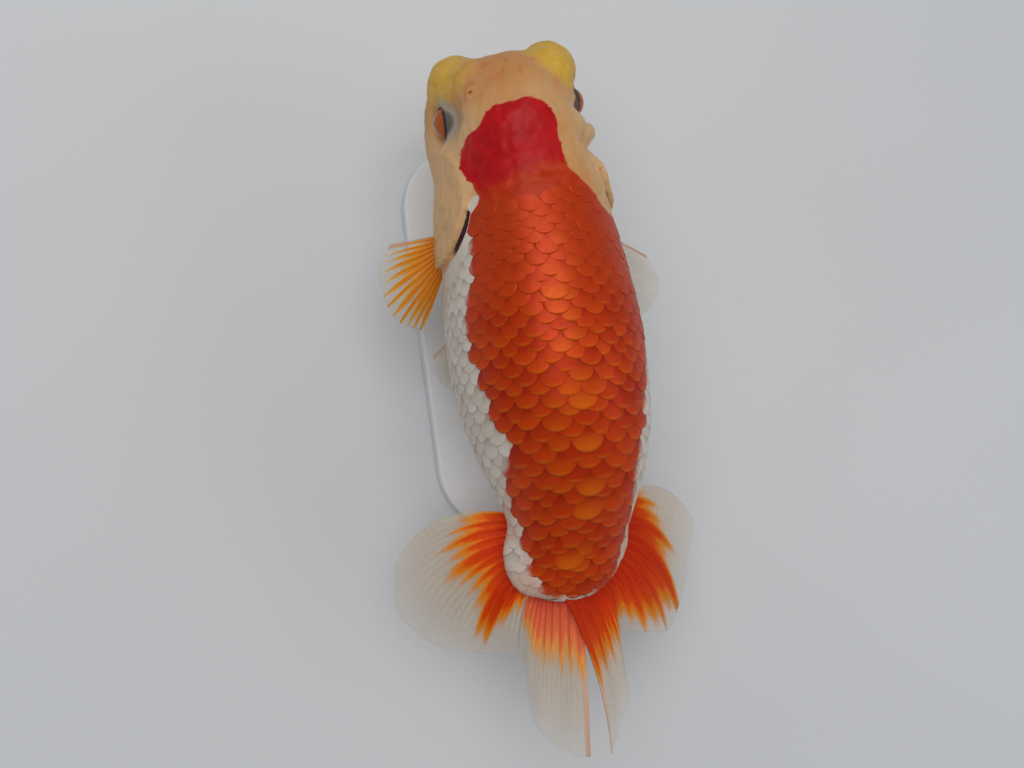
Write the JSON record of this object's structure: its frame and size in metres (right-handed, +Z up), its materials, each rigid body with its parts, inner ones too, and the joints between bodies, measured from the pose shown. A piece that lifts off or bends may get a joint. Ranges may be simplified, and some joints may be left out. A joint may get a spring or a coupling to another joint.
{
  "type": "ranchu goldfish display model",
  "caption": "Life-size still model of a red and white Ranchu goldfish with a hooded head, no back fin and a double tail, swimming on a plain two-rod stand.",
  "frame": {"origin": "middle of the underside of the stand's base", "axes": "+Z up, -Y the way the head points, +X the fish's left side"},
  "size_m": [0.0753, 0.1595, 0.0748],
  "materials": {
    "wen": "moist cream-orange skin",
    "cap": "moist crimson skin",
    "wen_lobe": "moist yellow skin",
    "scales": "wet shiny scales",
    "fin": "thin see-through membrane with rays",
    "eye": "wet clear dome",
    "stand_paint": "satin white paint",
    "stand_steel": "brushed"
  },
  "bodies": {
    "root": {"head": "wen", "wen_cap": "cap", "wen_lobe_left": "wen_lobe", "wen_lobe_right": "wen_lobe", "cheek_left": "wen", "cheek_right": "wen", "gill_cover_left": "wen", "gill_cover_right": "wen", "upper_lip": "wen", "lower_jaw": "wen", "eye_left": "eye", "eye_right": "eye", "trunk": "scales", "tail_stalk": "scales", "tail_fin_left_inner": "fin", "tail_fin_left_outer": "fin", "tail_fin_right_inner": "fin", "tail_fin_right_outer": "fin", "pectoral_fin_left": "fin", "pectoral_fin_right": "fin", "pelvic_fin_left": "fin", "pelvic_fin_right": "fin", "anal_fin_left": "fin", "anal_fin_right": "fin", "stand_base": "stand_paint", "stand_rod_front": "stand_steel", "stand_rod_rear": "stand_steel"}
  },
  "joints": []
}
